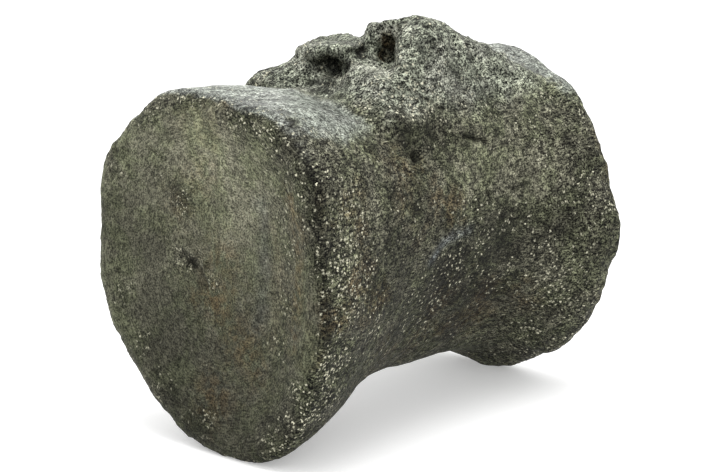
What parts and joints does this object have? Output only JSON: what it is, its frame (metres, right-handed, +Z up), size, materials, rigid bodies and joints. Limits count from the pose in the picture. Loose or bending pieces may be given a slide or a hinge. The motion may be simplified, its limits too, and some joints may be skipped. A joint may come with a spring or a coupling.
{
  "type": "fossil sauropod tail vertebra",
  "caption": "Fossil tail vertebra of a sauropod: a spool-shaped centrum with flared rims, shallow dished ends and the broken stumps of its neural arch.",
  "frame": {"origin": "on the floor, at the middle of the footprint of the bone's bounding box", "axes": "+Z up, X along the centrum, with the end that faces -X the one whose articular face the picture shows; -Y is the flank the picture shows"},
  "size_m": [0.1708, 0.1279, 0.1562],
  "materials": {
    "fossil_bone": "semi-gloss dark olive-grey mineralised bone"
  },
  "bodies": {
    "root": {"vertebra": "fossil_bone"}
  },
  "joints": []
}
